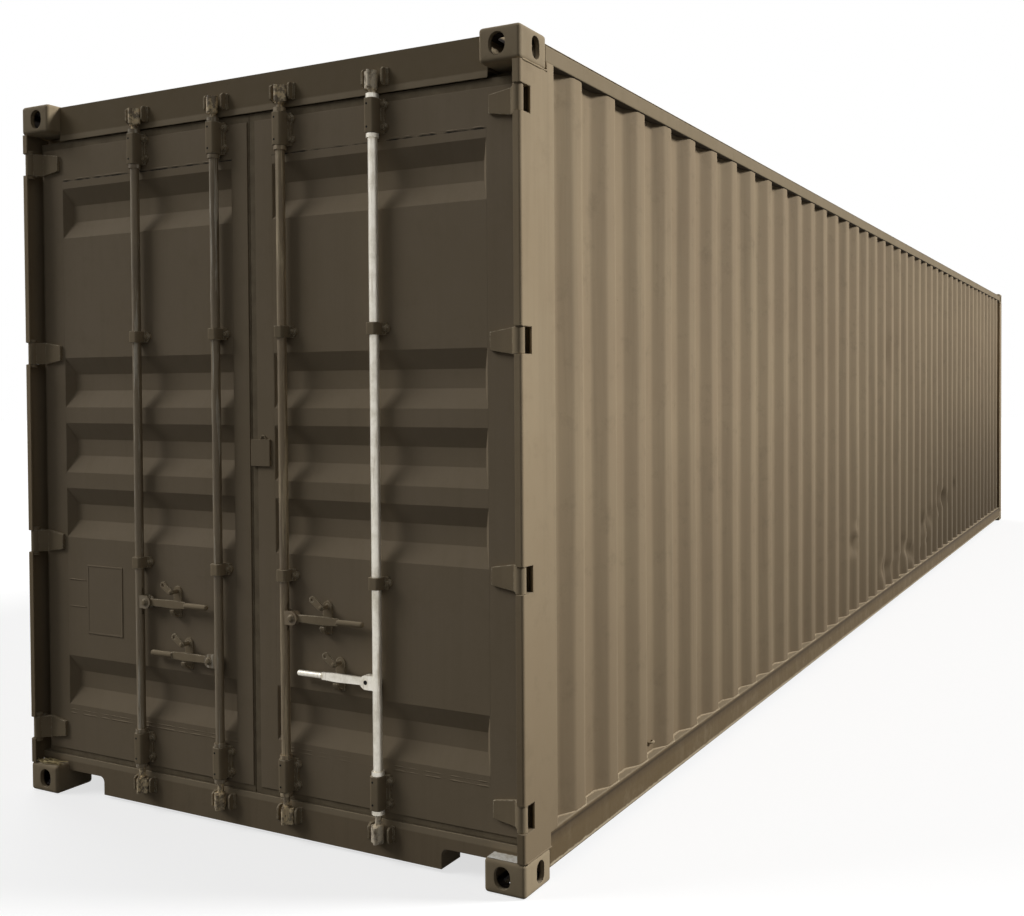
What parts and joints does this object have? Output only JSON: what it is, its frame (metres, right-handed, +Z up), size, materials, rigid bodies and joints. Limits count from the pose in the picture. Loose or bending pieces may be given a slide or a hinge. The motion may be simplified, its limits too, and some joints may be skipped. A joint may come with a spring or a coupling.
{
  "type": "shipping container",
  "caption": "Long high-cube steel freight container with corrugated walls, cast corner fittings and two hinged doors locked by turning bars with lift handles.",
  "frame": {"origin": "centre of the footprint, on the plane of the bottom castings' lower faces", "axes": "+X from the door end to the blind end, +Y to the left of someone facing the doors, +Z up"},
  "size_m": [12.192, 2.438, 2.896],
  "materials": {
    "paint_frame": "matt sand paint",
    "paint_sheet": "matt sand paint, dusty",
    "paint_door": "matt sand paint, dusty",
    "paint_gear": "matt sand paint, worn at the edges",
    "paint_casting": "matt sand paint over cast steel",
    "paint_under": "dark underseal",
    "gasket": "painted-over rubber",
    "plywood": "worn plywood",
    "galvanised": "dull zinc"
  },
  "bodies": {
    "root": {"corner_castings": "paint_casting", "door_posts": "paint_frame", "front_posts": "paint_frame", "door_header": "paint_frame", "door_sill": "paint_frame", "front_rails": "paint_frame", "top_side_rails": "paint_frame", "bottom_side_rails": "paint_frame", "right_side_wall": "paint_sheet", "left_side_wall": "paint_sheet", "front_end_wall": "paint_sheet", "roof_sheet": "paint_sheet", "floor_boards": "plywood", "cross_members": "paint_under", "cam_keepers": "paint_gear", "hinge_lugs": "paint_gear", "tie_back_hooks": "paint_gear"},
    "left_door": {"left_door_frame": "paint_door", "left_door_panel": "paint_door", "left_door_gasket": "gasket", "left_door_hinges": "paint_gear", "left_bar_brackets": "paint_gear", "left_handle_retainers": "paint_gear"},
    "right_door": {"right_door_frame": "paint_door", "right_door_panel": "paint_door", "right_door_gasket": "gasket", "right_door_hinges": "paint_gear", "right_bar_brackets": "paint_gear", "right_handle_retainers": "paint_gear", "right_overlap_plate": "paint_door"},
    "left_outer_bar": {"left_outer_bar": "paint_gear", "left_outer_cams": "paint_gear"},
    "left_outer_handle": {"left_outer_handle": "paint_gear"},
    "left_outer_catch": {"left_outer_catch": "paint_gear"},
    "left_inner_bar": {"left_inner_bar": "paint_gear", "left_inner_cams": "paint_gear"},
    "left_inner_handle": {"left_inner_handle": "paint_gear"},
    "left_inner_catch": {"left_inner_catch": "paint_gear"},
    "right_inner_bar": {"right_inner_bar": "paint_gear", "right_inner_cams": "paint_gear"},
    "right_inner_handle": {"right_inner_handle": "paint_gear"},
    "right_inner_catch": {"right_inner_catch": "paint_gear"},
    "right_outer_bar": {"right_outer_bar": "galvanised", "right_outer_cams": "galvanised"},
    "right_outer_handle": {"right_outer_handle": "galvanised"},
    "right_outer_catch": {"right_outer_catch": "paint_gear"}
  },
  "joints": [
    {"name": "left_door_hinge", "type": "hinge", "parent": "root", "child": "left_door", "pos_m": [-6.074, 1.197, 0.1], "axis": [0, 0, -1], "range_deg": [0, 265]},
    {"name": "right_door_hinge", "type": "hinge", "parent": "root", "child": "right_door", "pos_m": [-6.074, -1.197, 0.1], "axis": [0, 0, 1], "range_deg": [0, 265]},
    {"name": "left_outer_bar_turn", "type": "hinge", "parent": "left_door", "child": "left_outer_bar", "pos_m": [-6.061, 0.592, 1.46], "axis": [0, 0, 1], "range_deg": [-110, 0]},
    {"name": "left_outer_handle_lift", "type": "hinge", "parent": "left_outer_bar", "child": "left_outer_handle", "pos_m": [-6.061, 0.55, 0.85], "axis": [-1, 0, 0], "range_deg": [0, 8]},
    {"name": "left_outer_catch_swing", "type": "hinge", "parent": "left_door", "child": "left_outer_catch", "pos_m": [-6.075, 0.408, 0.9], "axis": [-1, 0, 0], "range_deg": [0, 125]},
    {"name": "left_inner_bar_turn", "type": "hinge", "parent": "left_door", "child": "left_inner_bar", "pos_m": [-6.061, 0.166, 1.46], "axis": [0, 0, -1], "range_deg": [-110, 0]},
    {"name": "left_inner_handle_lift", "type": "hinge", "parent": "left_inner_bar", "child": "left_inner_handle", "pos_m": [-6.061, 0.208, 0.648], "axis": [1, 0, 0], "range_deg": [0, 8]},
    {"name": "left_inner_catch_swing", "type": "hinge", "parent": "left_door", "child": "left_inner_catch", "pos_m": [-6.075, 0.35, 0.698], "axis": [-1, 0, 0], "range_deg": [0, 125]},
    {"name": "right_inner_bar_turn", "type": "hinge", "parent": "right_door", "child": "right_inner_bar", "pos_m": [-6.061, -0.166, 1.46], "axis": [0, 0, 1], "range_deg": [-110, 0]},
    {"name": "right_inner_handle_lift", "type": "hinge", "parent": "right_inner_bar", "child": "right_inner_handle", "pos_m": [-6.061, -0.208, 0.85], "axis": [-1, 0, 0], "range_deg": [0, 8]},
    {"name": "right_inner_catch_swing", "type": "hinge", "parent": "right_door", "child": "right_inner_catch", "pos_m": [-6.075, -0.35, 0.9], "axis": [-1, 0, 0], "range_deg": [0, 125]},
    {"name": "right_outer_bar_turn", "type": "hinge", "parent": "right_door", "child": "right_outer_bar", "pos_m": [-6.061, -0.592, 1.46], "axis": [0, 0, -1], "range_deg": [-110, 0]},
    {"name": "right_outer_handle_lift", "type": "hinge", "parent": "right_outer_bar", "child": "right_outer_handle", "pos_m": [-6.061, -0.55, 0.648], "axis": [1, 0, 0], "range_deg": [0, 8]},
    {"name": "right_outer_catch_swing", "type": "hinge", "parent": "right_door", "child": "right_outer_catch", "pos_m": [-6.075, -0.408, 0.698], "axis": [-1, 0, 0], "range_deg": [0, 125]}
  ]
}
